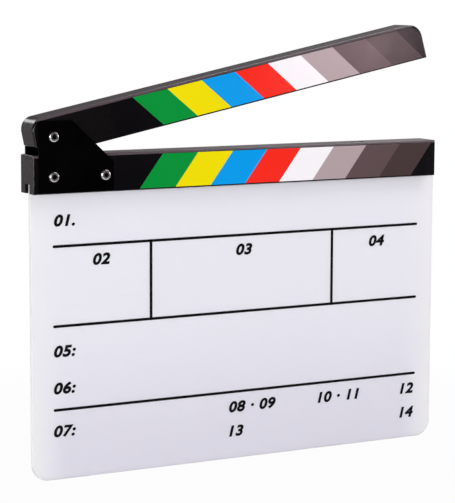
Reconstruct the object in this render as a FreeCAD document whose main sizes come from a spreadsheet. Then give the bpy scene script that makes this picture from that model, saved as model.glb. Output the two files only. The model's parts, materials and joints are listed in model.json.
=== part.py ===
import FreeCAD, Part
import os

import Sketcher

# A hand-held clapperboard. An acrylic board hangs in the slot of a fixed stick, and a second stick swings
# on a pivot screw between two hinge plates. Lengths are in millimetres and angles in degrees. X runs along
# the sticks to their free end, Y from front to back and Z up. The origin is at the middle of the board's
# lower edge. The swinging stick is modelled about its pivot and stands open as the object is at rest.

SIZES = {
    # Acrylic board: its drop is the height that shows below the lower stick.
    "board_width": 300,
    "board_drop": 183,
    "board_thickness": 3,
    "board_corner_radius": 11,
    # Sticks: both have one section, with its upper edges rounded more than the others, and the lower one
    # reaches past the board at the hinge end. The upper one reaches from the pivot to its free end, which
    # leans back towards its top, and to its heel. The slot for the board opens into a wider mouth at the
    # hinge end.
    "stick_height": 24.2,
    "stick_depth": 20,
    "stick_edge_radius": 0.5,
    "stick_top_radius": 1.2,
    "stick_overhang": 1.5,
    "lower_stick_length": 297,
    "upper_stick_reach": 280,
    "free_end_lean": 2,
    "free_corner_radius": 10,
    "heel_corner_radius": 8,
    "heel_reach": 12.2,
    "slot_depth": 6,
    "slot_clearance": 0.3,
    "slot_mouth_width": 7,
    "slot_mouth_length": 6,
    # Pivot: its height is above the upper stick's underside, its inset from the lower stick's hinge end.
    # The upper stick rests at the open angle and can open to the stop angle, both from shut.
    "pivot_inset": 13,
    "pivot_height": 11.2,
    "pivot_clearance": 0.06,
    "side_clearance": 0.3,
    "closed_gap": 0.3,
    "open_angle": 11.5,
    "stop_angle": 45,
    # Hinge plates: inset and foot are measured from the lower stick's hinge end and underside.
    "plate_thickness": 1.2,
    "plate_inset": 3.4,
    "plate_foot": 0.8,
    "plate_width": 50.8,
    "plate_height": 44.7,
    "plate_cut_width": 28.4,
    "plate_cut_height": 26.5,
    "plate_corner_radius": 1.2,
    # Screws and nuts, all of one size. The far fixing screw is set in from the plates' cut side.
    "screw_diameter": 4,
    "screw_head_diameter": 6.6,
    "screw_head_height": 1.8,
    "screw_head_rounding": 0.9,
    "screw_tail": 0.8,
    "screw_tip_chamfer": 0.5,
    "socket_across_flats": 3,
    "socket_depth": 1.2,
    "hole_clearance": 0.1,
    "thread_clearance": 0.05,
    "nut_across_flats": 7,
    "nut_height": 3.2,
    "nut_chamfer": 0.4,
    "fixing_inset": 6.2,
    "fixing_height": 10.9,
    # Disc magnets, one above the other when the sticks are shut, set in from the upper stick's free end.
    "magnet_diameter": 8,
    "magnet_thickness": 3,
    "magnet_chamfer": 0.3,
    "magnet_recess": 0.2,
    "magnet_clearance": 0.1,
    "magnet_inset": 52,
    # Printed stripe films, each with one margin along the top and one along its other edges, apart from
    # the upper film's margin at the free end.
    "film_thickness": 0.2,
    "film_margin": 0.5,
    "film_top_margin": 1.7,
    "film_end_margin": 1.3,
    "film_plate_gap": 1,
    # Length by which a cut reaches past the face that it opens.
    "cut_overrun": 1,
}

# Places that several pieces share, as expressions on the sheet.
STICK_LEFT = "(-sizes.board_width / 2 - sizes.stick_overhang)"
STICK_FACE = "(sizes.stick_depth / 2)"
PLATE_FACE = "(sizes.stick_depth / 2 + sizes.plate_thickness)"
UPPER_FACE = "(sizes.stick_depth / 2 - sizes.side_clearance)"
UPPER_TOP = "(sizes.stick_height - sizes.pivot_height)"
PIVOT_RISE = "(sizes.stick_height + sizes.closed_gap + sizes.pivot_height)"
PIVOT_X = f"({STICK_LEFT} + sizes.pivot_inset)"
PIVOT_Z = f"(sizes.board_drop + {PIVOT_RISE})"
FIXING_REACH = "(sizes.plate_inset + sizes.plate_width - sizes.fixing_inset)"
FIXING_X = f"({STICK_LEFT} + {FIXING_REACH})"
FIXING_Z = "(sizes.board_drop + sizes.fixing_height)"
MAGNET_X = "(sizes.pivot_inset + sizes.upper_stick_reach - sizes.magnet_inset)"
FILM_LEFT = "(sizes.plate_inset + sizes.plate_width + sizes.film_plate_gap)"

OPENING_AXIS = FreeCAD.Vector(0, -1, 0)
HEXAGON_SIDES = 6
TOLERANCE = 1e-6
LEAST_BEND = 1e-3

document = FreeCAD.newDocument("clapperboard")
sheet = document.addObject("Spreadsheet::Sheet", "sizes")
for row, (alias, number) in enumerate(SIZES.items(), start=1):
    sheet.set(f"A{row}", alias)
    sheet.set(f"B{row}", str(number))
    sheet.setAlias(f"B{row}", alias)
document.recompute()


def new_body(label, x="0", y="0", z="0"):
    """An empty body whose own origin lies at three expressions in the part's frame."""
    body = document.addObject("PartDesign::Body", label)
    body.Label = label
    for axis, expression in zip("xyz", (x, y, z)):
        body.setExpression(f"Placement.Base.{axis}", expression)
    return body


def new_upper_body(label, y="0"):
    """An empty body of the swinging stick, with its origin on the pivot and turned to the open angle."""
    body = document.addObject("PartDesign::Body", label)
    body.Label = label
    opening = FreeCAD.Rotation(OPENING_AXIS, SIZES["open_angle"])
    body.Placement = FreeCAD.Placement(FreeCAD.Vector(), opening)
    for axis, expression in zip("xyz", (PIVOT_X, y, PIVOT_Z)):
        body.setExpression(f"Placement.Base.{axis}", expression)
    body.setExpression("Placement.Rotation.Angle", "sizes.open_angle")
    return body


def add_sketch(body, name, plane, offset="0"):
    """An empty sketch on one of the body's own planes, moved along the plane's normal by an expression."""
    sketch = body.newObject("Sketcher::SketchObject", f"{body.Name}_{name}_sketch")
    support = next(item for item in body.Origin.OriginFeatures if item.Role == plane)
    sketch.AttachmentSupport = (support, "")
    sketch.MapMode = "FlatFace"
    sketch.setExpression("AttachmentOffset.Base.z", offset)
    return sketch


def hold(sketch, kind, expression, *places):
    """Adds a constraint of one kind to a sketch and binds it to an expression."""
    value = float(sketch.evalExpression(expression))
    index = sketch.addConstraint(Sketcher.Constraint(kind, *places, value))
    sketch.setExpression(f"Constraints[{index}]", expression)


def pin_point(sketch, geometry, position, across, along):
    """Holds one point of a sketch at two expressions measured from the sketch's origin."""
    hold(sketch, "DistanceX", across, -1, 1, geometry, position)
    hold(sketch, "DistanceY", along, -1, 1, geometry, position)


def point_at(sketch, across, along):
    """The vector for two expressions in a sketch's plane."""
    return FreeCAD.Vector(float(sketch.evalExpression(across)), float(sketch.evalExpression(along)), 0)


def add_outline(sketch, corners):
    """A closed outline of straight edges through corners that are pairs of expressions."""
    points = [point_at(sketch, across, along) for across, along in corners]
    first = sketch.GeometryCount
    for start, end in zip(points, points[1:] + points[:1]):
        sketch.addGeometry(Part.LineSegment(start, end), False)
    for step, (across, along) in enumerate(corners):
        following = first + (step + 1) % len(corners)
        sketch.addConstraint(Sketcher.Constraint("Coincident", first + step, 2, following, 1))
        pin_point(sketch, first + step, 1, across, along)


def add_rectangle(sketch, left, right, low, high):
    """A rectangle between four expressions."""
    add_outline(sketch, [(left, low), (right, low), (right, high), (left, high)])


def add_hexagon(sketch, across_flats):
    """A regular hexagon about the sketch's origin, standing on a corner."""
    corners = []
    for side in range(HEXAGON_SIDES):
        turn = f"{side} * 360 deg / {HEXAGON_SIDES} + 90 deg"
        radius = f"{across_flats} / (2 * cos(180 deg / {HEXAGON_SIDES}))"
        corners.append((f"{radius} * cos({turn})", f"{radius} * sin({turn})"))
    add_outline(sketch, corners)


def add_circle(sketch, across, along, radius):
    """A circle about a point given by two expressions."""
    centre = point_at(sketch, across, along)
    circle = Part.Circle(centre, FreeCAD.Vector(0, 0, 1), float(sketch.evalExpression(radius)))
    index = sketch.addGeometry(circle, False)
    pin_point(sketch, index, 3, across, along)
    hold(sketch, "Radius", radius, index)


def add_pad(sketch, length, side="One side", reverse=False):
    """Extrudes a sketch by an expression, along its normal, against it or to both sides."""
    body = sketch.getParentGeoFeatureGroup()
    pad = body.newObject("PartDesign::Pad", f"{body.Name}_pad")
    pad.Profile = sketch
    pad.SideType = side
    pad.Reversed = reverse
    pad.setExpression("Length", length)
    document.recompute()
    return pad


def add_pocket(sketch, half_length):
    """Cuts a sketch out of its body to both sides of its plane, and checks that it took something away."""
    body = sketch.getParentGeoFeatureGroup()
    before = body.Shape.Volume
    pocket = body.newObject("PartDesign::Pocket", f"{body.Name}_pocket")
    pocket.Profile = sketch
    pocket.SideType = "Symmetric"
    pocket.setExpression("Length", f"2 * {half_length}")
    document.recompute()
    if body.Shape.Volume >= before:
        raise RuntimeError(f"{sketch.Name} cuts nothing")
    return pocket


def add_edge_feature(kind, base, size_property, size, test):
    """Rounds or bevels those edges of a feature that pass a test, by an expression."""
    body = base.getParentGeoFeatureGroup()
    names = [f"Edge{index}" for index, edge in enumerate(base.Shape.Edges, start=1) if test(edge)]
    if not names:
        raise RuntimeError(f"{base.Name} has no edge to finish")
    feature = body.newObject(f"PartDesign::{kind}", f"{body.Name}_{kind.lower()}")
    feature.Base = (base, names)
    feature.setExpression(size_property, size)
    document.recompute()
    return feature


def add_fillet(base, radius, test):
    """Rounds the edges of a feature that pass a test."""
    return add_edge_feature("Fillet", base, "Radius", radius, test)


def add_chamfer(base, size, test):
    """Bevels the edges of a feature that pass a test."""
    return add_edge_feature("Chamfer", base, "Size", size, test)


def is_straight(edge):
    """True for a straight edge."""
    return isinstance(edge.Curve, Part.Line)


def spans(edge, axis):
    """An edge's length along one axis."""
    ends = edge.BoundBox
    return {"x": ends.XLength, "y": ends.YLength, "z": ends.ZLength}[axis]


def is_sharp(shape, edge):
    """True for an edge of a shape along which two of its faces meet at an angle."""
    faces = shape.ancestorsOfType(edge, Part.Face)
    if len(faces) < 2:
        return False
    middle = edge.valueAt((edge.FirstParameter + edge.LastParameter) / 2)
    first, second = [face.normalAt(*face.Surface.parameter(middle)) for face in faces]
    return first.cross(second).Length > LEAST_BEND


def crosses_depth(edge):
    """True for a straight edge that runs from front to back."""
    return is_straight(edge) and spans(edge, "x") < TOLERANCE and spans(edge, "z") < TOLERANCE


def lies_in_face(edge):
    """True for an edge that lies in a plane parallel to the front."""
    return spans(edge, "y") < TOLERANCE


# The board is a flat acrylic panel. Its upper edge bears on the roof of the slot, and its two lower
# corners are rounded.
board = new_body("slate_board")
board_sketch = add_sketch(board, "outline", "XZ_Plane")
add_rectangle(
    board_sketch,
    "-sizes.board_width / 2",
    "sizes.board_width / 2",
    "0",
    "sizes.board_drop + sizes.slot_depth",
)
board_pad = add_pad(board_sketch, "sizes.board_thickness", "Symmetric")
add_fillet(
    board_pad,
    "sizes.board_corner_radius",
    lambda edge: crosses_depth(edge) and edge.BoundBox.ZMax < TOLERANCE,
)

# The lower stick is a square batten with eased edges and a rounded top, a slot along its underside for the
# board with a wider mouth at the hinge end, two through holes for the fixing screws and a blind bore for a
# magnet in its top.
lower_stick = new_body("lower_stick", STICK_LEFT, "0", "sizes.board_drop")
lower_sketch = add_sketch(lower_stick, "outline", "XZ_Plane")
add_rectangle(lower_sketch, "0", "sizes.lower_stick_length", "0", "sizes.stick_height")
lower_pad = add_pad(lower_sketch, "sizes.stick_depth", "Symmetric")
lower_top = add_fillet(
    lower_pad,
    "sizes.stick_top_radius",
    lambda edge: spans(edge, "x") > TOLERANCE and edge.BoundBox.ZMin > SIZES["stick_height"] - TOLERANCE,
)
add_fillet(lower_top, "sizes.stick_edge_radius", lambda edge: is_sharp(lower_top.Shape, edge))
slot_sketch = add_sketch(lower_stick, "slot", "YZ_Plane", "sizes.lower_stick_length / 2")
SLOT_SIDE = "(sizes.board_thickness / 2 + sizes.slot_clearance)"
add_rectangle(slot_sketch, f"-{SLOT_SIDE}", SLOT_SIDE, "-sizes.cut_overrun", "sizes.slot_depth")
add_pocket(slot_sketch, "(sizes.lower_stick_length / 2 + sizes.cut_overrun)")
mouth_sketch = add_sketch(lower_stick, "mouth", "YZ_Plane")
MOUTH_SIDE = "(sizes.slot_mouth_width / 2)"
add_rectangle(mouth_sketch, f"-{MOUTH_SIDE}", MOUTH_SIDE, "-sizes.cut_overrun", "sizes.slot_depth")
add_pocket(mouth_sketch, "sizes.slot_mouth_length")
hole_sketch = add_sketch(lower_stick, "holes", "XZ_Plane")
HOLE_RADIUS = "(sizes.screw_diameter / 2 + sizes.hole_clearance)"
for hole_x in ("sizes.pivot_inset", FIXING_REACH):
    add_circle(hole_sketch, hole_x, "sizes.fixing_height", HOLE_RADIUS)
add_pocket(hole_sketch, f"({STICK_FACE} + sizes.cut_overrun)")
MAGNET_BORE = "(sizes.magnet_diameter / 2 + sizes.magnet_clearance)"
MAGNET_DEPTH = "(sizes.magnet_thickness + sizes.magnet_recess)"
lower_bore_sketch = add_sketch(lower_stick, "bore", "XY_Plane", "sizes.stick_height")
add_circle(lower_bore_sketch, MAGNET_X, "0", MAGNET_BORE)
add_pocket(lower_bore_sketch, MAGNET_DEPTH)

# The upper stick has the same section, thinner by the clearance to the plates. Its heel is cut off at the
# stop angle and rounded about the pivot, so that it turns just above the lower stick until the cut lies
# flat over it. Its upper corners are rounded too, and its free end leans back a little.
upper_stick = new_upper_body("upper_stick")
upper_sketch = add_sketch(upper_stick, "outline", "XZ_Plane")
STOP = "(sizes.stop_angle * 1 deg)"
CUT_FOOT = f"(-sizes.pivot_height * tan({STOP} / 2))"
CUT_HEAD = f"((sizes.heel_reach * sin({STOP}) - sizes.pivot_height) / cos({STOP}))"
upper_corners = [
    ("sizes.upper_stick_reach", "-sizes.pivot_height"),
    ("sizes.upper_stick_reach - sizes.free_end_lean", UPPER_TOP),
    ("-sizes.heel_reach", UPPER_TOP),
    ("-sizes.heel_reach", CUT_HEAD),
    (CUT_FOOT, "-sizes.pivot_height"),
]
add_outline(upper_sketch, upper_corners)
add_circle(upper_sketch, "0", "0", "sizes.screw_diameter / 2 + sizes.pivot_clearance")
upper_pad = add_pad(upper_sketch, f"2 * {UPPER_FACE}", "Symmetric")
upper_heel = add_fillet(
    upper_pad,
    "sizes.pivot_height",
    lambda edge: crosses_depth(edge)
    and edge.BoundBox.XMax < 0
    and edge.BoundBox.ZMax < TOLERANCE - SIZES["pivot_height"],
)
upper_corner = add_fillet(
    upper_heel,
    "sizes.heel_corner_radius",
    lambda edge: crosses_depth(edge) and edge.BoundBox.XMax < 0 < edge.BoundBox.ZMin - TOLERANCE,
)
upper_free_end = add_fillet(
    upper_corner,
    "sizes.free_corner_radius",
    lambda edge: crosses_depth(edge) and edge.BoundBox.XMin > 0 < edge.BoundBox.ZMin,
)


def is_bore_rim(edge):
    """True for a rim of the upper stick's pivot bore."""
    rim = SIZES["screw_diameter"] + 2 * SIZES["pivot_clearance"]
    is_round = max(abs(spans(edge, "x") - rim), abs(spans(edge, "z") - rim)) < TOLERANCE
    return is_round and abs(edge.BoundBox.Center.x) < TOLERANCE


upper_top = add_fillet(
    upper_free_end,
    "sizes.stick_top_radius",
    lambda edge: lies_in_face(edge) and edge.BoundBox.ZMin > 0 and spans(edge, "x") > SIZES["stick_depth"],
)
add_fillet(
    upper_top,
    "sizes.stick_edge_radius",
    lambda edge: is_sharp(upper_top.Shape, edge) and not is_bore_rim(edge),
)
upper_bore_sketch = add_sketch(upper_stick, "bore", "XY_Plane", "-sizes.pivot_height")
add_circle(upper_bore_sketch, f"{MAGNET_X} - sizes.pivot_inset", "0", MAGNET_BORE)
add_pocket(upper_bore_sketch, MAGNET_DEPTH)


def hinge_plate(label, y, reverse):
    """A flat plate with a cut corner, two fixing holes and the pivot hole, on one side of the sticks."""
    body = new_body(label, STICK_LEFT, y, "sizes.board_drop")
    sketch = add_sketch(body, "outline", "XZ_Plane")
    right = "(sizes.plate_inset + sizes.plate_width)"
    top = "(sizes.plate_foot + sizes.plate_height)"
    corners = [
        ("sizes.plate_inset", "sizes.plate_foot"),
        (right, "sizes.plate_foot"),
        (right, f"{top} - sizes.plate_cut_height"),
        (f"{right} - sizes.plate_cut_width", top),
        ("sizes.plate_inset", top),
    ]
    add_outline(sketch, corners)
    add_circle(sketch, "sizes.pivot_inset", PIVOT_RISE, HOLE_RADIUS)
    add_circle(sketch, "sizes.pivot_inset", "sizes.fixing_height", HOLE_RADIUS)
    add_circle(sketch, FIXING_REACH, "sizes.fixing_height", HOLE_RADIUS)
    pad = add_pad(sketch, "sizes.plate_thickness", reverse=reverse)
    add_fillet(pad, "sizes.plate_corner_radius", crosses_depth)
    return body


# Two hinge plates clamp the lower stick and carry the pivot above it.
front_plate = hinge_plate("front_hinge_plate", f"-{STICK_FACE}", False)
back_plate = hinge_plate("back_hinge_plate", STICK_FACE, True)


def socket_screw(label, x, z):
    """A socket head screw from the front plate to its nut: a turned blank with a hexagon sunk in its head."""
    body = new_body(label, x, f"-{PLATE_FACE}", z)
    blank_sketch = add_sketch(body, "blank", "YZ_Plane")
    head_top = "-sizes.screw_head_height"
    head_radius = "sizes.screw_head_diameter / 2"
    shank_radius = "sizes.screw_diameter / 2"
    tip = f"2 * {PLATE_FACE} + sizes.nut_height + sizes.screw_tail"
    corners = [
        (head_top, "0"),
        (tip, "0"),
        (tip, shank_radius),
        ("0", shank_radius),
        ("0", head_radius),
        (head_top, head_radius),
    ]
    add_outline(blank_sketch, corners)
    blank = body.newObject("PartDesign::Revolution", f"{body.Name}_blank")
    blank.Profile = blank_sketch
    blank.ReferenceAxis = (blank_sketch, ["H_Axis"])
    document.recompute()
    dome = add_fillet(
        blank,
        "sizes.screw_head_rounding",
        lambda edge: lies_in_face(edge) and edge.BoundBox.YMax < -TOLERANCE,
    )
    add_chamfer(
        dome,
        "sizes.screw_tip_chamfer",
        lambda edge: lies_in_face(edge) and edge.BoundBox.YMin > SIZES["stick_depth"],
    )
    socket_sketch = add_sketch(body, "socket", "XZ_Plane", "sizes.screw_head_height")
    add_hexagon(socket_sketch, "sizes.socket_across_flats")
    add_pocket(socket_sketch, "sizes.socket_depth")
    return body


def hex_nut(label, x, z):
    """A plain hexagon nut on the back plate, with its outer edges bevelled."""
    body = new_body(label, x, PLATE_FACE, z)
    sketch = add_sketch(body, "outline", "XZ_Plane")
    add_hexagon(sketch, "sizes.nut_across_flats")
    add_circle(sketch, "0", "0", "sizes.screw_diameter / 2 + sizes.thread_clearance")
    pad = add_pad(sketch, "sizes.nut_height", reverse=True)
    add_chamfer(
        pad,
        "sizes.nut_chamfer",
        lambda edge: is_straight(edge) and lies_in_face(edge) and edge.BoundBox.YMin > TOLERANCE,
    )
    return body


def group(label, members):
    """One node of several equal pieces that stay separate solids."""
    compound = document.addObject("Part::Compound", label)
    compound.Label = label
    compound.Links = members
    return compound


# The pivot screw runs through the upper stick's heel, and two fixing screws through the lower stick. Each
# is held by a nut behind the back plate.
pivot_screw = socket_screw("pivot_screw", PIVOT_X, PIVOT_Z)
pivot_nut = hex_nut("pivot_nut", PIVOT_X, PIVOT_Z)
fixing_places = {"left": PIVOT_X, "right": FIXING_X}
fixing_screws = group(
    "fixing_screws",
    [socket_screw(f"fixing_screw_{side}", x, FIXING_Z) for side, x in fixing_places.items()],
)
fixing_nuts = group(
    "fixing_nuts",
    [hex_nut(f"fixing_nut_{side}", x, FIXING_Z) for side, x in fixing_places.items()],
)


def disc_magnet(body, x, z, reverse):
    """A disc magnet with bevelled rims, seated on the floor of its bore."""
    sketch = add_sketch(body, "disc", "XY_Plane", z)
    add_circle(sketch, x, "0", "sizes.magnet_diameter / 2")
    pad = add_pad(sketch, "sizes.magnet_thickness", reverse=reverse)
    add_chamfer(pad, "sizes.magnet_chamfer", lambda edge: spans(edge, "z") < TOLERANCE)
    return body


# A disc magnet in each stick holds the sticks shut. Both lie a little below the faces that meet.
lower_magnet = disc_magnet(
    new_body("lower_magnet", STICK_LEFT, "0", "sizes.board_drop"),
    MAGNET_X,
    "sizes.stick_height - sizes.magnet_recess",
    True,
)
upper_magnet = disc_magnet(
    new_upper_body("upper_magnet"),
    f"{MAGNET_X} - sizes.pivot_inset",
    "sizes.magnet_recess - sizes.pivot_height",
    False,
)

# The stripes are printed on a film that runs from the hinge plates to the free end of each stick.
lower_film = new_body("lower_stripe_film", STICK_LEFT, f"-{STICK_FACE}", "sizes.board_drop")
lower_film_sketch = add_sketch(lower_film, "outline", "XZ_Plane")
add_rectangle(
    lower_film_sketch,
    FILM_LEFT,
    "sizes.lower_stick_length - sizes.film_margin",
    "sizes.film_margin",
    "sizes.stick_height - sizes.film_top_margin",
)
add_pad(lower_film_sketch, "sizes.film_thickness")

upper_film = new_upper_body("upper_stripe_film", f"-{UPPER_FACE}")
upper_film_sketch = add_sketch(upper_film, "outline", "XZ_Plane")
UPPER_FILM_LEFT = f"{FILM_LEFT} - sizes.pivot_inset"
UPPER_FILM_RIGHT = "sizes.upper_stick_reach - sizes.film_end_margin"
UPPER_FILM_FOOT = "sizes.film_margin - sizes.pivot_height"
UPPER_FILM_HEAD = f"{UPPER_TOP} - sizes.film_top_margin"
FOOT_LEAN = "sizes.free_end_lean * sizes.film_margin / sizes.stick_height"
HEAD_LEAN = "sizes.free_end_lean * (1 - sizes.film_top_margin / sizes.stick_height)"
upper_film_corners = [
    (UPPER_FILM_LEFT, UPPER_FILM_FOOT),
    (f"{UPPER_FILM_RIGHT} - {FOOT_LEAN}", UPPER_FILM_FOOT),
    (f"{UPPER_FILM_RIGHT} - {HEAD_LEAN}", UPPER_FILM_HEAD),
    (UPPER_FILM_LEFT, UPPER_FILM_HEAD),
]
add_outline(upper_film_sketch, upper_film_corners)
upper_film_pad = add_pad(upper_film_sketch, "sizes.film_thickness")
add_fillet(
    upper_film_pad,
    "sizes.free_corner_radius",
    lambda edge: crosses_depth(edge)
    and edge.BoundBox.ZMin > 0
    and edge.BoundBox.XMin > SIZES["upper_stick_reach"] / 2,
)

nodes = [
    board,
    lower_stick,
    upper_stick,
    front_plate,
    back_plate,
    pivot_screw,
    pivot_nut,
    fixing_screws,
    fixing_nuts,
    lower_magnet,
    upper_magnet,
    lower_film,
    upper_film,
]
document.recompute()
for item in document.Objects:
    if {"Invalid", "Error"} & set(item.State):
        raise RuntimeError(f"{item.Name} failed: {item.State}")
for node in nodes:
    if node.Shape.isNull() or not node.Shape.isValid():
        raise RuntimeError(f"{node.Label} has no valid shape")

os.makedirs("parts", exist_ok=True)
for node in nodes:
    node.Shape.exportStep(f"parts/{node.Label}.step")
    print(f"{node.Label}: {len(node.Shape.Solids)} solid(s), {node.Shape.Volume:.1f} mm3")
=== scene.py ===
import json
import math

import bmesh
import bpy
import numpy as np
from mathutils import Matrix, Vector


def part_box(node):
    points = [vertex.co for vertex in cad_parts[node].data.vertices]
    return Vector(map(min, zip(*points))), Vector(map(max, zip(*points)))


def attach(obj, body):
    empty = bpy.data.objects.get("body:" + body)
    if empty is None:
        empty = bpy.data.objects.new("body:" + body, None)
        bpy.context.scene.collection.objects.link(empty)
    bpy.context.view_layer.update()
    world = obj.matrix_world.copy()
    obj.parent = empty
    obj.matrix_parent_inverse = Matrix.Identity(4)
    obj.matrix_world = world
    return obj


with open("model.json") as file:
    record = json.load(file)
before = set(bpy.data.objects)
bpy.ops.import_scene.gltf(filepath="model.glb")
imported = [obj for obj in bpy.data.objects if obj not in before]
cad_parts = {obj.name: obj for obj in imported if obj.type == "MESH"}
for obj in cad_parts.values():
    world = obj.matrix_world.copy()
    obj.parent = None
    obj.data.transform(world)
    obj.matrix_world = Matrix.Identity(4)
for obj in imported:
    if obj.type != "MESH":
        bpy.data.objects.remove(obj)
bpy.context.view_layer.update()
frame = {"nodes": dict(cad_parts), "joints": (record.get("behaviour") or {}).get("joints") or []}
nodes = frame["nodes"]


# The board: one sheet of milky cast acrylic, 3 mm thick, sawn to size with two rounded
# lower corners and polished edges. Its upper edge is pushed into the lower stick's slot.

board_low, board_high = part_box("slate_board")
EDGE_GLOW_REACH = 0.026
FOOT_SHADE_REACH = 0.11
SAWN_SIDE = 0.0003
RIPPLE_DEPTH = 0.00002
CLOUDED_SHARE, SCRATCHED_SHARE = 0.15, 0.06
ACRYLIC_ROUGHNESS = (0.28, 0.34)


def add(tree, kind, feeds, **settings):
    """Puts a node in a tree. Feeds are its inputs, each a plain value or an output."""
    made = tree.nodes.new("ShaderNode" + kind)
    for name, value in settings.items():
        setattr(made, name, value)
    for socket, value in feeds.items():
        if isinstance(value, bpy.types.NodeSocket):
            tree.links.new(value, made.inputs[socket])
        else:
            made.inputs[socket].default_value = value
    return made.outputs


def reckon(tree, operation, *values):
    """One step of arithmetic on plain values or outputs."""
    return add(tree, "Math", dict(enumerate(values)), operation=operation)[0]


def ease(tree, value, low, high, first=0.0, last=1.0):
    """Carries a value smoothly from low..high to first..last, and holds it outside."""
    feeds = {"Value": value, "From Min": low, "From Max": high, "To Min": first, "To Max": last}
    return add(tree, "MapRange", feeds, interpolation_type="SMOOTHSTEP")[0]


def blend_tints(tree, share, first, second):
    """The first colour where the share is 0, the second where it is 1."""
    return add(tree, "Mix", {0: share, 6: first, 7: second}, data_type="RGBA")[2]


def speckle(tree, vector, scale, detail=3.0, roughness=0.5):
    """Cloudy noise round 0.5; the scale is in clouds per metre."""
    feeds = {"Vector": vector, "Scale": scale, "Detail": detail, "Roughness": roughness}
    return add(tree, "TexNoise", feeds)["Fac"]


def stretch(tree, vector, shares):
    """A place whose coordinates are multiplied by three shares. Noise is drawn out along an
    axis whose share is small."""
    return add(tree, "VectorMath", {0: vector, 1: shares}, operation="MULTIPLY")[0]


def tint(red, green, blue):
    """A colour as it is seen on a screen, 0 to 255, turned into the light it stands for."""
    seen = np.array((red, green, blue)) / 255.0
    light = np.where(seen <= 0.04045, seen / 12.92, ((seen + 0.055) / 1.055) ** 2.4)
    return (*light.tolist(), 1.0)


def new_finish(name, constants):
    """A material with one Principled surface. Constants are values of its own sockets."""
    material = bpy.data.materials.new(name)
    material.use_nodes = True
    tree = material.node_tree
    surface = tree.nodes["Principled BSDF"].inputs
    for socket, value in constants.items():
        surface[socket].default_value = value
    return material, tree, surface, add(tree, "TexCoord", {})["Object"]


def dress(material, *names):
    """Gives CAD nodes a material."""
    for name in names:
        for slot in nodes[name].material_slots:
            slot.material = material


def raise_grain(tree, surface, height, depth):
    """Sends a height of 0 to 1 to the surface as relief, depth metres deep."""
    bump = add(tree, "Bump", {"Height": height, "Strength": 1.0, "Distance": depth})
    tree.links.new(bump["Normal"], surface["Normal"])


def shared_effect(name, takes, gives):
    """An empty node group with named inputs and outputs. Returns it with its two ends."""
    group = bpy.data.node_groups.new(name, "ShaderNodeTree")
    for title, (kind, value) in takes.items():
        made = group.interface.new_socket(title, in_out="INPUT", socket_type="NodeSocket" + kind)
        made.default_value = value
    for title, kind in gives.items():
        group.interface.new_socket(title, in_out="OUTPUT", socket_type="NodeSocket" + kind)
    taken, given = group.nodes.new("NodeGroupInput"), group.nodes.new("NodeGroupOutput")
    return group, taken.outputs, given.inputs


# Handling: soft patches where fingers and cloths have passed, and fine hairlines that
# run along the piece. The two masks go from 0 to 1.
handling, taken, given = shared_effect(
    "handling",
    {"Vector": ("Vector", (0.0, 0.0, 0.0)), "Patch Scale": ("Float", 14.0),
     "Hairline Scale": ("Float", 900.0)},
    {"Patches": "Float", "Hairlines": "Float"},
)
clouds = speckle(handling, taken["Vector"], taken["Patch Scale"], 4.0, 0.55)
handling.links.new(ease(handling, clouds, 0.34, 0.66), given["Patches"])
drawn_out = stretch(handling, taken["Vector"], (0.03, 1.0, 1.0))
threads = speckle(handling, drawn_out, taken["Hairline Scale"], 2.0)
handling.links.new(ease(handling, threads, 0.66, 0.76), given["Hairlines"])

# The milk is a little cloudy. It is greyer towards the foot, which is painted shade, paler near
# the two sides, which is painted light, and palest on the sawn sides themselves, also painted light.
MILK, CLOUDED_MILK, FOOT_SHADE_MILK = tint(234, 233, 241), tint(224, 222, 233), tint(222, 220, 231)
PAINTED_EDGE_LIGHT_MILK, PAINTED_SIDE_LIGHT_MILK, SCRATCHED_MILK = tint(237, 236, 241), tint(253, 253, 254), tint(180, 178, 188)
acrylic, tree, surface, place = new_finish("milky_acrylic", {
    "IOR": 1.49, "Specular IOR Level": 0.22, "Subsurface Weight": 0.4,
    "Subsurface Radius": (1.0, 1.0, 1.0), "Subsurface Scale": 0.005})
along, _, up = add(tree, "SeparateXYZ", {0: place})
from_side = reckon(tree, "SUBTRACT", board_high.x, reckon(tree, "ABSOLUTE", along))
clouded = ease(tree, speckle(tree, place, 7.0, 2.0), 0.2, 0.8, 0.0, CLOUDED_SHARE)
milk = blend_tints(tree, clouded, MILK, CLOUDED_MILK)
# Painted shade: the milk is made greyer towards the board's foot.
foot_shade = ease(tree, up, 0.0, FOOT_SHADE_REACH, 1.0, 0.0)
milk = blend_tints(tree, foot_shade, milk, FOOT_SHADE_MILK)
# Painted light: the milk is made paler near the board's two sides.
glow = ease(tree, from_side, 0.0, EDGE_GLOW_REACH, 1.0, 0.0)
milk = blend_tints(tree, glow, milk, PAINTED_EDGE_LIGHT_MILK)
# Painted light: the side faces themselves are made palest.
sawn = ease(tree, from_side, 0.0, SAWN_SIDE, 1.0, 0.0)
milk = blend_tints(tree, sawn, milk, PAINTED_SIDE_LIGHT_MILK)
marks = add(tree, "Group", {"Vector": place, "Patch Scale": 11.0, "Hairline Scale": 700.0},
            node_tree=handling)
scratched = reckon(tree, "MULTIPLY", marks["Hairlines"], SCRATCHED_SHARE)
milk = blend_tints(tree, scratched, milk, SCRATCHED_MILK)
tree.links.new(milk, surface["Base Color"])
tree.links.new(ease(tree, marks["Patches"], 0.0, 1.0, *ACRYLIC_ROUGHNESS), surface["Roughness"])
ripple = reckon(tree, "ADD", speckle(tree, place, 130.0, 1.0),
                reckon(tree, "MULTIPLY", marks["Hairlines"], -0.25))
raise_grain(tree, surface, ripple, RIPPLE_DEPTH)
dress(acrylic, "slate_board")


# The rules: black lines screen printed on the board's front, which part it into fields.
# Each is a bar of ink a few hundredths of a millimetre thick, with round ends.

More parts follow.
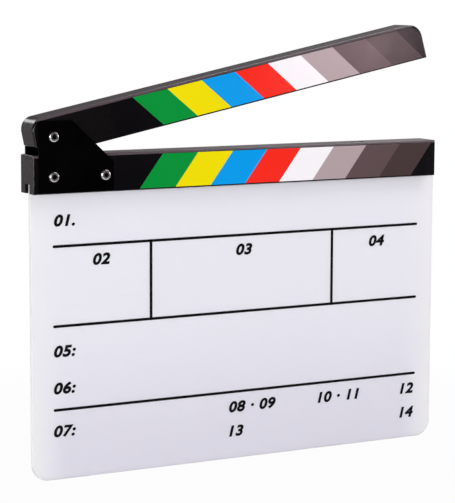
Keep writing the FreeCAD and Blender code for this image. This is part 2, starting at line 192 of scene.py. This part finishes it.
INK_PROUD = 0.00004
INK_SUNK = 0.00002
INK_GRAIN = 0.00001
INK_BLACK, THIN_INK, PINHOLE = tint(4, 3, 6), tint(9, 8, 11), tint(120, 118, 126)
PINHOLE_SHARE = 0.12
INK_ROUGHNESS = (0.42, 0.58)
RULE_WIDTH, DIVIDER_WIDTH = 0.0018, 0.0020
RULE_LEFT, RULE_RIGHT = -0.1345, 0.1367
RULE_HEIGHTS = (0.1491, 0.0984, 0.0448)
DIVIDERS = (-0.0668, 0.0690)
END_STEPS = 10
SAME_POINT = 1e-6

ink, tree, surface, place = new_finish("printing_ink", {"IOR": 1.45, "Specular IOR Level": 0.1})
pinholes = ease(tree, speckle(tree, place, 2600.0, 2.0), 0.68, 0.76)
laid = blend_tints(tree, ease(tree, speckle(tree, place, 60.0, 3.0), 0.3, 0.7), INK_BLACK, THIN_INK)
laid = blend_tints(tree, reckon(tree, "MULTIPLY", pinholes, PINHOLE_SHARE), laid, PINHOLE)
tree.links.new(laid, surface["Base Color"])
tree.links.new(ease(tree, speckle(tree, place, 90.0), 0.3, 0.7, *INK_ROUGHNESS), surface["Roughness"])
raise_grain(tree, surface, speckle(tree, place, 1800.0, 2.0), INK_GRAIN)


def new_piece(name, points, faces, material):
    """An object at the origin from arrays of points and faces. Points that fall together, as
    at a pole or along a seam, are merged."""
    mesh = bpy.data.meshes.new(name)
    mesh.from_pydata(points.tolist(), [], faces.tolist())
    shell = bmesh.new()
    shell.from_mesh(mesh)
    bmesh.ops.remove_doubles(shell, verts=shell.verts, dist=SAME_POINT)
    shell.to_mesh(mesh)
    shell.free()
    mesh.materials.append(material)
    piece = bpy.data.objects.new(name, mesh)
    bpy.context.scene.collection.objects.link(piece)
    return piece


def woven_faces(rows, columns, start):
    """Four-sided faces of a grid whose columns close on themselves, numbered from start."""
    row, column = np.meshgrid(np.arange(rows - 1), np.arange(columns), indexing="ij")
    following = (column + 1) % columns
    corners = [row * columns + column, row * columns + following,
               (row + 1) * columns + following, (row + 1) * columns + column]
    return start + np.stack(corners, -1).reshape(-1, 4)


def inked_bar(tail, head, width):
    """A bar of ink between two points (x, z). A loop of points goes round the line at a
    distance that is a share of half the width, and its depth is a profile over that share:
    out along the hidden underside, then up over the border and in over the crowned top."""
    tail, head = np.array(tail), np.array(head)
    heading = math.atan2(*(head - tail)[::-1])
    half_turn = np.linspace(-math.pi / 2, math.pi / 2, END_STEPS)
    angles = np.concatenate([heading + half_turn, heading + math.pi + half_turn])
    middles = np.concatenate([np.tile(head, (END_STEPS, 1)), np.tile(tail, (END_STEPS, 1))])
    share = np.array([0.0, 1.0, 1.0, 0.9, 0.6, 0.0])
    rise = np.array([-INK_SUNK, -INK_SUNK, 0.3 * INK_PROUD, 0.8 * INK_PROUD, INK_PROUD, INK_PROUD])
    reach = share[:, None] * width / 2
    x = middles[:, 0] + reach * np.cos(angles)
    z = middles[:, 1] + reach * np.sin(angles)
    y = np.broadcast_to((board_low.y - rise)[:, None], x.shape)
    return np.stack([x, y, z], -1).reshape(-1, 3), len(share), len(angles)


bars = [((RULE_LEFT, height), (RULE_RIGHT, height), RULE_WIDTH) for height in RULE_HEIGHTS]
bars += [((x, RULE_HEIGHTS[1]), (x, RULE_HEIGHTS[0]), DIVIDER_WIDTH) for x in DIVIDERS]
points, faces = np.zeros((0, 3)), np.zeros((0, 4), int)
for place_and_width in bars:
    bar, rows, columns = inked_bar(*place_and_width)
    faces = np.concatenate([faces, woven_faces(rows, columns, len(points))])
    points = np.concatenate([points, bar])
field_rules = new_piece("field_rules", points, faces, ink)
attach(field_rules, "base")


# The field numbers: plain numbers in a heavy slanted face, printed with the rules in the
# same black ink, one at the corner or over the middle of each field.

NUMBER_HEIGHT = 0.0076
NUMBER_SLANT = 0.21
NUMBER_BREADTH = 1.2
NUMBER_SPACING = 1.08
NUMBER_SWELL = 0.00046
SHARPEST_MITRE = 1.0
# Each entry has the number, a place along x, the height of its foot, and which side of it is at x.
FIELD_NUMBERS = (
    ("01.", -0.1343, 0.1616, "LEFT"),
    ("02", -0.1017, 0.1358, "CENTER"),
    ("03", 0.0015, 0.1358, "CENTER"),
    ("04", 0.1046, 0.1356, "CENTER"),
    ("05:", -0.1350, 0.0786, "LEFT"),
    ("06:", -0.1352, 0.0549, "LEFT"),
    ("07:", -0.1354, 0.0272, "LEFT"),
    ("08 · 09", -0.0094, 0.0308, "LEFT"),
    ("10 · 11", 0.0589, 0.0308, "LEFT"),
    ("12", 0.1364, 0.0308, "RIGHT"),
    ("13", -0.0093, 0.0146, "LEFT"),
    ("14", 0.1366, 0.0140, "RIGHT"),
)


def printed_number(text, x, z, side):
    """A number's filled outline, swollen to a heavy face and given the ink's thickness, with
    its foot at height z and its left, right or middle at x. A border edge is one whose reverse
    is in no triangle. Each border point moves out along the sum of its two edges' normals,
    over half that sum's square, which is a mitre. The back is a copy of the front, and walls
    join the two along the border."""
    outline = bpy.data.curves.new("number", "FONT")
    outline.body, outline.shear, outline.space_character = text, NUMBER_SLANT, NUMBER_SPACING
    carrier = bpy.data.objects.new("number", outline)
    bpy.context.scene.collection.objects.link(carrier)
    shape = bpy.data.meshes.new_from_object(carrier.evaluated_get(bpy.context.evaluated_depsgraph_get()))
    bpy.data.objects.remove(carrier)
    bpy.data.curves.remove(outline)
    shape.calc_loop_triangles()
    flat = np.empty(len(shape.vertices) * 3, np.float32)
    shape.vertices.foreach_get("co", flat)
    triangles = np.empty(len(shape.loop_triangles) * 3, np.int32)
    shape.loop_triangles.foreach_get("vertices", triangles)
    bpy.data.meshes.remove(shape)
    flat, triangles = flat.reshape(-1, 3)[:, :2] * (NUMBER_BREADTH, 1.0), triangles.reshape(-1, 3)
    flat *= (NUMBER_HEIGHT - 2 * NUMBER_SWELL) / np.ptp(flat[:, 1])
    edges = np.concatenate([triangles[:, [0, 1]], triangles[:, [1, 2]], triangles[:, [2, 0]]])
    names, reverse_names = edges @ (len(flat), 1), edges @ (1, len(flat))
    border = edges[~np.isin(reverse_names, names)]
    run = flat[border[:, 1]] - flat[border[:, 0]]
    outward = np.stack([run[:, 1], -run[:, 0]], -1) / np.linalg.norm(run, axis=1)[:, None]
    lean = np.zeros_like(flat)
    np.add.at(lean, border[:, 0], outward)
    np.add.at(lean, border[:, 1], outward)
    flat += 2 * NUMBER_SWELL * lean / np.maximum((lean ** 2).sum(1), SHARPEST_MITRE)[:, None]
    low, high = flat[:, 0].min(), flat[:, 0].max()
    shift = x - {"LEFT": low, "RIGHT": high, "CENTER": (low + high) / 2}[side]
    front = np.stack([shift + flat[:, 0], np.full(len(flat), board_low.y - INK_PROUD),
                      z + flat[:, 1] - flat[:, 1].min()], -1)
    back = front + (0.0, INK_PROUD + INK_SUNK, 0.0)
    sunk = border + len(flat)
    walls = np.concatenate([np.stack([border[:, 1], border[:, 0], sunk[:, 0]], -1),
                            np.stack([border[:, 1], sunk[:, 0], sunk[:, 1]], -1)])
    reversed_triangles = triangles[:, ::-1] + len(flat)
    return np.concatenate([front, back]), np.concatenate([triangles, reversed_triangles, walls])


points, faces = np.zeros((0, 3)), np.zeros((0, 3), int)
for entry in FIELD_NUMBERS:
    shape, sides = printed_number(*entry)
    faces = np.concatenate([faces, sides + len(points)])
    points = np.concatenate([points, shape])
field_numbers = new_piece("field_numbers", points, faces, ink)
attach(field_numbers, "base")


# The sticks: two planed hardwood battens, sprayed satin black, so the grain shows only as
# fine relief and the arrises have begun to rub through. The upper one turns on the pivot.

clap = frame["joints"][0]
pivot = Vector(clap["pos_m"])
opening = math.radians(-clap["range_deg"][0])
lower_low, lower_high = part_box("lower_stick")


def turned_box(name, turn):
    """Lowest and highest corner of a CAD node, measured from the pivot along axes that are
    turned up by an angle about the pivot."""
    flat = np.empty(len(nodes[name].data.vertices) * 3)
    nodes[name].data.vertices.foreach_get("co", flat)
    local = (flat.reshape(-1, 3) - np.array(pivot)) @ np.array(Matrix.Rotation(-turn, 3, "Y"))
    return Vector(local.min(0)), Vector(local.max(0))


def own_axes(tree, place, origin, turn):
    """Object coordinates measured from an origin, along a stick that is turned up."""
    feeds = {"Vector": place, "Location": origin, "Rotation": (0.0, -turn, 0.0)}
    return add(tree, "Mapping", feeds, vector_type="TEXTURE")[0]


# Rubbed arrises: for a box centred on the origin, the middle one of a point's three depths
# under the faces is its distance to the nearest arris. The mask is 1 there and breaks up.
rubbing, taken, given = shared_effect(
    "rubbed_arris",
    {"Vector": ("Vector", (0.0, 0.0, 0.0)), "Half Size": ("Vector", (0.1, 0.01, 0.01)),
     "Reach": ("Float", 0.0008)},
    {"Rubbed": "Float"},
)
size = add(rubbing, "VectorMath", {0: taken["Vector"]}, operation="ABSOLUTE")[0]
depth = add(rubbing, "VectorMath", {0: taken["Half Size"], 1: size}, operation="SUBTRACT")[0]
along, across, over = add(rubbing, "SeparateXYZ", {0: depth})
lesser, greater = (reckon(rubbing, choice, along, across) for choice in ("MINIMUM", "MAXIMUM"))
middle = reckon(rubbing, "MAXIMUM", lesser, reckon(rubbing, "MINIMUM", greater, over))
broken = ease(rubbing, speckle(rubbing, taken["Vector"], 140.0, 4.0, 0.6), 0.38, 0.66, 0.15, 1.0)
reach = reckon(rubbing, "MULTIPLY", taken["Reach"], broken)
rubbing.links.new(ease(rubbing, reckon(rubbing, "DIVIDE", middle, reach), 0.3, 1.0, 1.0, 0.0),
                  given["Rubbed"])

# Grain under paint: long streaks and short dark pores that follow the stick's length.
grain, taken, given = shared_effect(
    "grain_under_paint",
    {"Vector": ("Vector", (0.0, 0.0, 0.0))},
    {"Streaks": "Float", "Height": "Float"},
)
streaked = stretch(grain, taken["Vector"], (0.05, 1.0, 1.0))
streaks = ease(grain, speckle(grain, streaked, 420.0, 5.0, 0.6), 0.3, 0.7)
pored = stretch(grain, taken["Vector"], (0.12, 1.0, 1.0))
pores = ease(grain, speckle(grain, pored, 1900.0, 1.0), 0.62, 0.72)
grain.links.new(streaks, given["Streaks"])
height = reckon(grain, "SUBTRACT", streaks, reckon(grain, "MULTIPLY", pores, 0.8))
grain.links.new(height, given["Height"])

GRAIN_DEPTH = 0.000006
RUBBED_REACH = 0.0009
SHEEN_REACH = 0.0015
SHEEN_FRINGE = 0.0004
PAINT, PAINT_ON_STREAKS = tint(7, 6, 7), tint(10, 8, 9)
SCUFFED_PAINT, RUBBED_PAINT = tint(58, 50, 53), tint(78, 68, 68)
PAINTED_SHEEN, PAINTED_SHEEN_ON_STREAKS = tint(79, 68, 74), tint(92, 80, 86)
SCUFFED_SHARE, RUBBED_SHARE = 0.08, 0.4
PAINT_ROUGHNESS, STREAK_ROUGHNESS = (0.20, 0.24), 0.03


def painted_stick(name, node, low, high, origin, turn):
    """Satin black paint on a stick that lies along its own axes between two corners. Its two
    rounded upper arrises are painted lighter: a painted highlight of light falling from above."""
    paint, tree, surface, place = new_finish(name, {"IOR": 1.46, "Specular IOR Level": 0.32})
    middle, half = (low + high) / 2, (high - low) / 2
    centred = own_axes(tree, place, origin + Matrix.Rotation(-turn, 3, "Y") @ middle, turn)
    fibres = add(tree, "Group", {"Vector": centred}, node_tree=grain)
    marks = add(tree, "Group", {"Vector": centred, "Patch Scale": 22.0, "Hairline Scale": 1100.0},
                node_tree=handling)
    feeds = {"Vector": centred, "Half Size": half, "Reach": RUBBED_REACH}
    rubbed = add(tree, "Group", feeds, node_tree=rubbing)["Rubbed"]
    black = blend_tints(tree, fibres["Streaks"], PAINT, PAINT_ON_STREAKS)
    scuffed = reckon(tree, "MULTIPLY", marks["Hairlines"], SCUFFED_SHARE)
    black = blend_tints(tree, scuffed, black, SCUFFED_PAINT)
    black = blend_tints(tree, reckon(tree, "MULTIPLY", rubbed, RUBBED_SHARE), black, RUBBED_PAINT)
    _, across, over = add(tree, "SeparateXYZ", {0: centred})
    from_side = reckon(tree, "SUBTRACT", half.y, reckon(tree, "ABSOLUTE", across))
    from_arris = reckon(tree, "MAXIMUM", from_side, reckon(tree, "SUBTRACT", half.z, over))
    # Painted highlight: the rounded upper arrises are painted a lighter grey, as if lit from above.
    ragged = reckon(tree, "MULTIPLY_ADD", fibres["Streaks"], -SHEEN_FRINGE, from_arris)
    sheen = ease(tree, ragged, SHEEN_REACH - SHEEN_FRINGE, SHEEN_REACH, 1.0, 0.0)
    sheen_paint = blend_tints(tree, fibres["Streaks"], PAINTED_SHEEN, PAINTED_SHEEN_ON_STREAKS)
    black = blend_tints(tree, sheen, black, sheen_paint)
    tree.links.new(black, surface["Base Color"])
    dulled = reckon(tree, "ADD", ease(tree, marks["Patches"], 0.0, 1.0, *PAINT_ROUGHNESS),
                    reckon(tree, "MULTIPLY", fibres["Streaks"], STREAK_ROUGHNESS))
    tree.links.new(dulled, surface["Roughness"])
    raise_grain(tree, surface, fibres["Height"], GRAIN_DEPTH)
    dress(paint, node)


painted_stick("paint_on_lower_stick", "lower_stick", lower_low - pivot, lower_high - pivot, pivot, 0.0)
painted_stick("paint_on_upper_stick", "upper_stick", *turned_box("upper_stick", opening), pivot, opening)


# The stripe films: printed self-adhesive vinyl on the front of each stick, satin laminated.
# The slanted stripes of the two films meet when the clapper is shut, so a camera sees it.

INK_SLOTS = 15
RAMP_STEPS = 255
PLAIN_BLACK = tint(8, 7, 10)
GREEN, YELLOW, BLUE, RED = tint(3, 146, 57), tint(244, 225, 0), tint(2, 157, 237), tint(252, 42, 29)
WHITE, PALE_GREY = tint(252, 247, 251), tint(179, 161, 165)
MIDDLE_GREY, DARK_GREY = tint(95, 77, 79), tint(71, 56, 56)
STRIPE_INKS = (
    PLAIN_BLACK, GREEN, YELLOW, BLUE, RED,
    WHITE, PALE_GREY, MIDDLE_GREY, DARK_GREY, PLAIN_BLACK,
)
PRINT_DOTS, PRINT_HAIRLINES = tint(128, 120, 124), tint(170, 165, 168)
PRINT_BORDER, BORDER_SOFTNESS = 0.00055, 0.0001
DOT_SHARE, HAIRLINE_SHARE, FILM_RUBBED_SHARE = 0.006, 0.02, 0.7
FILM_ROUGHNESS = (0.12, 0.16)
FILM_RUBBED_REACH = 0.0005
FILM_GRAIN = 0.000004

# Slanted stripes: the distance along the film, moved by the lean times the height over the
# meeting edge, divided by the pitch, picks one ink after another. The colour ramp is read in
# whole steps, so each ink has a slot of 17 of them and starts half a step early.
stripes, taken, given = shared_effect(
    "slanted_stripes",
    {"Vector": ("Vector", (0.0, 0.0, 0.0)), "Lean": ("Float", 0.7), "Pitch": ("Float", 0.025)},
    {"Color": "Color"},
)
run, _, rise = add(stripes, "SeparateXYZ", {0: taken["Vector"]})
slid = reckon(stripes, "MULTIPLY_ADD", rise, taken["Lean"], run)
number = reckon(stripes, "ADD", reckon(stripes, "DIVIDE", slid, taken["Pitch"]), 1.0)
inks = add(stripes, "ValToRGB", {0: reckon(stripes, "DIVIDE", number, INK_SLOTS)})
ramp = inks[0].node.color_ramp
ramp.interpolation = "CONSTANT"
for slot, colour in enumerate(STRIPE_INKS):
    start = max(0.0, slot / INK_SLOTS - 0.5 / RAMP_STEPS)
    stop = ramp.elements[slot] if slot < 2 else ramp.elements.new(start)
    stop.position, stop.color = start, colour
stripes.links.new(inks[0], given["Color"])


def striped_film(name, node, low, high, edge, turn, first_stripe, pitch, lean):
    """The print on a film that lies along its own axes between two corners. The first stripe
    starts at a distance from the pivot, on the edge where the two films meet. A thin black
    border runs along the film's lower edge."""
    film, tree, surface, place = new_finish(name, {"IOR": 1.47, "Specular IOR Level": 0.45})
    upright = Matrix.Rotation(-turn, 3, "Y")
    centred = own_axes(tree, place, pivot + upright @ ((low + high) / 2), turn)
    first = own_axes(tree, place, pivot + upright @ Vector((first_stripe, 0.0, edge)), turn)
    print_ink = add(tree, "Group", {"Vector": first, "Lean": lean, "Pitch": pitch},
                    node_tree=stripes)["Color"]
    marks = add(tree, "Group", {"Vector": centred, "Patch Scale": 30.0, "Hairline Scale": 1300.0},
                node_tree=handling)
    half = (high - low) / 2
    _, _, over = add(tree, "SeparateXYZ", {0: centred})
    from_foot = reckon(tree, "ADD", over, half.z)
    border = ease(tree, from_foot, PRINT_BORDER - BORDER_SOFTNESS, PRINT_BORDER, 1.0, 0.0)
    print_ink = blend_tints(tree, border, print_ink, PLAIN_BLACK)
    feeds = {"Vector": centred, "Half Size": half, "Reach": FILM_RUBBED_REACH}
    rubbed = add(tree, "Group", feeds, node_tree=rubbing)["Rubbed"]
    dots = ease(tree, speckle(tree, centred, 3000.0, 1.0), 0.3, 0.7, 0.0, DOT_SHARE)
    print_ink = blend_tints(tree, dots, print_ink, PRINT_DOTS)
    scratched = reckon(tree, "MULTIPLY", marks["Hairlines"], HAIRLINE_SHARE)
    print_ink = blend_tints(tree, scratched, print_ink, PRINT_HAIRLINES)
    feeds = {0: 1.0, 6: print_ink, 7: print_ink}
    paler = add(tree, "Mix", feeds, data_type="RGBA", blend_type="SCREEN")[2]
    print_ink = blend_tints(tree, reckon(tree, "MULTIPLY", rubbed, FILM_RUBBED_SHARE), print_ink, paler)
    tree.links.new(print_ink, surface["Base Color"])
    tree.links.new(ease(tree, marks["Patches"], 0.0, 1.0, *FILM_ROUGHNESS), surface["Roughness"])
    raise_grain(tree, surface, speckle(tree, centred, 2400.0, 2.0), FILM_GRAIN)
    dress(film, node)


LOWER_PRINT = {"first_stripe": 0.0772, "pitch": 0.0255, "lean": -0.755}
UPPER_PRINT = {"first_stripe": 0.0770, "pitch": 0.02495, "lean": 0.82}
lower_film = [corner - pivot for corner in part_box("lower_stripe_film")]
striped_film("print_on_lower_film", "lower_stripe_film", *lower_film, lower_high.z - pivot.z, 0.0,
             **LOWER_PRINT)
upper_foot = turned_box("upper_stick", opening)[0].z
striped_film("print_on_upper_film", "upper_stripe_film", *turned_box("upper_stripe_film", opening),
             upper_foot, opening, **UPPER_PRINT)


# The hinge plates: two cut-corner plates of 1.2 mm steel, punched and powder coated matt
# black. They are clamped on the lower stick's two sides and carry the pivot between them.

COAT, HANDLED_COAT, SCRATCHED_COAT = tint(1, 1, 1), tint(3, 3, 3), tint(48, 48, 50)
COAT_SCRATCHED_SHARE = 0.02
COAT_ROUGHNESS = (0.46, 0.54)
COAT_GRAIN = 0.00004
coat, tree, surface, place = new_finish("powder_coat", {"IOR": 1.45, "Specular IOR Level": 0.01})
marks = add(tree, "Group", {"Vector": place, "Patch Scale": 45.0, "Hairline Scale": 1500.0},
            node_tree=handling)
black = blend_tints(tree, marks["Patches"], COAT, HANDLED_COAT)
scratched = reckon(tree, "MULTIPLY", marks["Hairlines"], COAT_SCRATCHED_SHARE)
black = blend_tints(tree, scratched, black, SCRATCHED_COAT)
tree.links.new(black, surface["Base Color"])
tree.links.new(ease(tree, marks["Patches"], 0.0, 1.0, *COAT_ROUGHNESS), surface["Roughness"])
pimples = speckle(tree, place, 1500.0, 3.0, 0.6)
raise_grain(tree, surface, pimples, COAT_GRAIN)
dress(coat, "front_hinge_plate", "back_hinge_plate")


# The screws and nuts: bright stainless socket screws, turned from bar, so fine rings lie
# round each axis. Hex nuts hold them behind. The pivot screw is the one in the upper stick.

SOCKET_REACH = 0.0018
SOCKET_RIM_TOP, SOCKET_RIM_FOOT = 0.00003, 0.0003
RING_WAVES = 42000.0
RING_WOBBLE = 0.0001
RING_DEPTH = 0.0000015
BRIGHT_STEEL, HANDLED_STEEL = (0.57, 0.56, 0.55, 1.0), (0.67, 0.66, 0.66, 1.0)
SOCKET_PAINTED_SHADE = (0.012, 0.012, 0.012, 1.0)
STEEL_ROUGHNESS = (0.20, 0.30)
screws_low, screws_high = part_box("fixing_screws")
head_radius = (screws_high.z - screws_low.z) / 2
screw_axes = [(screws_low.x + head_radius, 0.0, screws_low.z + head_radius),
              (screws_high.x - head_radius, 0.0, screws_low.z + head_radius), tuple(pivot)]

steel, tree, surface, place = new_finish("bright_stainless", {"Metallic": 1.0})
flat_place = stretch(tree, place, (1.0, 0.0, 1.0))
from_axis = [add(tree, "VectorMath", {0: flat_place, 1: axis}, operation="DISTANCE")["Value"]
             for axis in screw_axes]
nearest = reckon(tree, "MINIMUM", reckon(tree, "MINIMUM", from_axis[0], from_axis[1]), from_axis[2])
wobbling = reckon(tree, "MULTIPLY_ADD", speckle(tree, place, 500.0), RING_WOBBLE, nearest)
waves = reckon(tree, "SINE", reckon(tree, "MULTIPLY", wobbling, RING_WAVES))
rings = reckon(tree, "MULTIPLY_ADD", waves, 0.5, 0.5)
marks = add(tree, "Group", {"Vector": place, "Patch Scale": 260.0, "Hairline Scale": 2600.0},
            node_tree=handling)
bright = blend_tints(tree, marks["Patches"], BRIGHT_STEEL, HANDLED_STEEL)
# Painted shade: the insides of the hex sockets are painted near black.
_, deep, _ = add(tree, "SeparateXYZ", {0: place})
sunk = ease(tree, deep, screws_low.y + SOCKET_RIM_TOP, screws_low.y + SOCKET_RIM_FOOT)
socket_shade = reckon(tree, "MULTIPLY", sunk, reckon(tree, "LESS_THAN", nearest, SOCKET_REACH))
tree.links.new(blend_tints(tree, socket_shade, bright, SOCKET_PAINTED_SHADE), surface["Base Color"])
tree.links.new(ease(tree, rings, 0.0, 1.0, *STEEL_ROUGHNESS), surface["Roughness"])
raise_grain(tree, surface, rings, RING_DEPTH)
dress(steel, "pivot_screw", "pivot_nut", "fixing_screws", "fixing_nuts")


# The magnets: two nickel-plated discs, pressed and glued into flat-bottomed bores in the
# sticks' meeting faces, near the free end, so the clapper stays shut.

NICKEL, HANDLED_NICKEL = (0.86, 0.84, 0.80, 1.0), (0.92, 0.90, 0.87, 1.0)
SCRATCHED_NICKEL = (0.55, 0.53, 0.50, 1.0)
NICKEL_ROUGHNESS = (0.08, 0.16)
SCRATCH_DEPTH = 0.000004
nickel, tree, surface, place = new_finish("nickel_plate", {"Metallic": 1.0})
marks = add(tree, "Group", {"Vector": place, "Patch Scale": 320.0, "Hairline Scale": 3200.0},
            node_tree=handling)
bright = blend_tints(tree, marks["Patches"], NICKEL, HANDLED_NICKEL)
tree.links.new(blend_tints(tree, marks["Hairlines"], bright, SCRATCHED_NICKEL), surface["Base Color"])
tree.links.new(ease(tree, marks["Patches"], 0.0, 1.0, *NICKEL_ROUGHNESS), surface["Roughness"])
raise_grain(tree, surface, marks["Hairlines"], SCRATCH_DEPTH)
dress(nickel, "lower_magnet", "upper_magnet")


# The studio: a pale round table under the board, a white surround, soft boxes at the board's
# height in front, on both sides and behind, three more above it, and a long lens to its left.

WHITE_LIGHT = (1.0, 1.0, 1.0, 1.0)
TABLE_RADIUS = 0.55
TABLE_GAP = 0.0003
TABLE_RINGS, TABLE_STEPS = 4, 96
TABLE_GREY = (0.3, 0.3, 0.3, 1.0)
SHADOW_REACH = (0.2, 0.45)
TABLE_WHITENESS = (0.97, 1.0)
turns = np.arange(TABLE_STEPS) * 2 * math.pi / TABLE_STEPS
radii = np.linspace(TABLE_RADIUS, 0.0, TABLE_RINGS)[:, None]
points = np.stack([radii * np.cos(turns), radii * np.sin(turns),
                   np.full((TABLE_RINGS, TABLE_STEPS), -TABLE_GAP)], -1).reshape(-1, 3)

# The table is white to the eye and in mirrors, but lets a little of its lit grey show near the
# board, and the shadow with it. To all other light it is that grey.
table = bpy.data.materials.new("pale_table")
table.use_nodes = True
tree = table.node_tree
tree.nodes.clear()
path = add(tree, "LightPath", {})
seen = reckon(tree, "MAXIMUM", path["Is Camera Ray"],
              reckon(tree, "MAXIMUM", path["Is Glossy Ray"], path["Is Transmission Ray"]))
place = add(tree, "TexCoord", {})["Object"]
from_board = add(tree, "VectorMath", {0: place}, operation="LENGTH")["Value"]
whiteness = ease(tree, from_board, *SHADOW_REACH, *TABLE_WHITENESS)
lit = add(tree, "BsdfDiffuse", {"Color": TABLE_GREY})[0]
white = add(tree, "Emission", {"Color": WHITE_LIGHT, "Strength": 1.0})[0]
shown = add(tree, "MixShader", {0: reckon(tree, "MULTIPLY", seen, whiteness), 1: lit, 2: white})[0]
add(tree, "OutputMaterial", {"Surface": shown})
floor = new_piece("table_top", points, woven_faces(TABLE_RINGS, TABLE_STEPS, 0), table)

# The surround is white to the eye, an even fill to rough surfaces, and to mirrors a screen
# that is bright behind the board, low down and to the right, and dim in front and above.
FILL_LIGHT, FILL_STRENGTH = (0.97, 0.97, 1.0, 1.0), 0.275
SCREEN_LIGHT = (1.0, 0.9, 0.95, 1.0)
# Each of these three has a range of one direction, and the screen's brightness at its two ends.
FRONT_TO_BACK = (-0.1, 0.6, 0.06, 1.0)
LOW_TO_HIGH = (-0.1, 0.3, 0.52, 0.22)
LEFT_TO_RIGHT = (0.45, 0.57, 0.9, 1.7)
scene = bpy.context.scene
world = bpy.data.worlds.new("studio")
scene.world = world
world.use_nodes = True
tree = world.node_tree
tree.nodes.clear()
path = add(tree, "LightPath", {})
beside, behind, above = add(tree, "SeparateXYZ", {0: add(tree, "TexCoord", {})["Generated"]})
screen = reckon(tree, "MULTIPLY", ease(tree, behind, *FRONT_TO_BACK), ease(tree, above, *LOW_TO_HIGH))
screen = reckon(tree, "MULTIPLY", screen, ease(tree, beside, *LEFT_TO_RIGHT))
seen = reckon(tree, "MAXIMUM", path["Is Camera Ray"], path["Is Transmission Ray"])
fill = add(tree, "Background", {"Color": FILL_LIGHT, "Strength": FILL_STRENGTH})[0]
white = add(tree, "Background", {"Color": WHITE_LIGHT, "Strength": 1.0})[0]
mirrored = add(tree, "Background", {"Color": SCREEN_LIGHT, "Strength": screen})[0]
unseen = add(tree, "MixShader", {0: path["Is Glossy Ray"], 1: fill, 2: mirrored})[0]
add(tree, "OutputWorld", {"Surface": add(tree, "MixShader", {0: seen, 1: unseen, 2: white})[0]})


def soft_box(name, place, aim, width, height, power, colour=WHITE_LIGHT[:3]):
    """A rectangular lamp at a place, turned to an aim, that the camera doesn't see."""
    lamp = bpy.data.lights.new(name, "AREA")
    lamp.shape, lamp.size, lamp.size_y, lamp.energy = "RECTANGLE", width, height, power
    lamp.color = colour
    carrier = bpy.data.objects.new(name, lamp)
    scene.collection.objects.link(carrier)
    carrier.location = place
    carrier.rotation_euler = (Vector(aim) - Vector(place)).to_track_quat("-Z", "Y").to_euler()
    carrier.visible_camera = False


MIDDLE, STICKS = (0.0, 0.0, 0.14), (0.0, 0.0, 0.2)
MAGNET_SIDE = (0.09, 0.0, 0.2)
ROSY = (1.0, 0.74, 0.82)
soft_box("left_soft_box", (-1.455, -0.507, 0.24), MIDDLE, 0.9, 0.45, 11.6)
soft_box("middle_soft_box", (-0.45, -1.45, 0.24), MIDDLE, 0.6, 0.45, 9.0)
soft_box("right_soft_box", (1.35, -0.75, 0.24), MIDDLE, 0.6, 0.45, 5.8)
soft_box("narrow_soft_box", (0.885, -1.28, 0.34), MIDDLE, 0.15, 0.3, 0.72, ROSY)
soft_box("high_soft_box", (0.57, -0.52, 0.9), MAGNET_SIDE, 0.25, 0.5, 2.0)
soft_box("top_soft_box", (0.48, 0.5, 0.92), STICKS, 0.7, 0.4, 4.0)
soft_box("back_soft_box", (-0.42, 1.2, 0.82), MIDDLE, 0.46, 0.25, 2.5)
soft_box("rear_soft_box", (-0.1, 1.5, 0.3), MIDDLE, 0.6, 0.45, 4.5)

CAMERA_PLACE = (-0.63596, -1.15180, 0.31228)
VIEW_TURN = math.radians(-28.516)
VIEW_FALL = math.radians(7.552)
VIEW_ROLL = math.radians(0.21)
SENSOR = 36.0
LENS = 144.408
CLIP_RANGE = (0.05, 20.0)
camera = bpy.data.cameras.new("photograph")
camera.sensor_width, camera.lens = SENSOR, LENS
camera.clip_start, camera.clip_end = CLIP_RANGE
viewer = bpy.data.objects.new("photograph", camera)
scene.collection.objects.link(viewer)
viewer.location = CAMERA_PLACE
upright = Matrix.Rotation(VIEW_TURN, 3, "Z") @ Matrix.Rotation(math.pi / 2 - VIEW_FALL, 3, "X")
viewer.rotation_euler = (upright @ Matrix.Rotation(VIEW_ROLL, 3, "Z")).to_euler()
scene.camera = viewer
scene.view_settings.view_transform = "Standard"
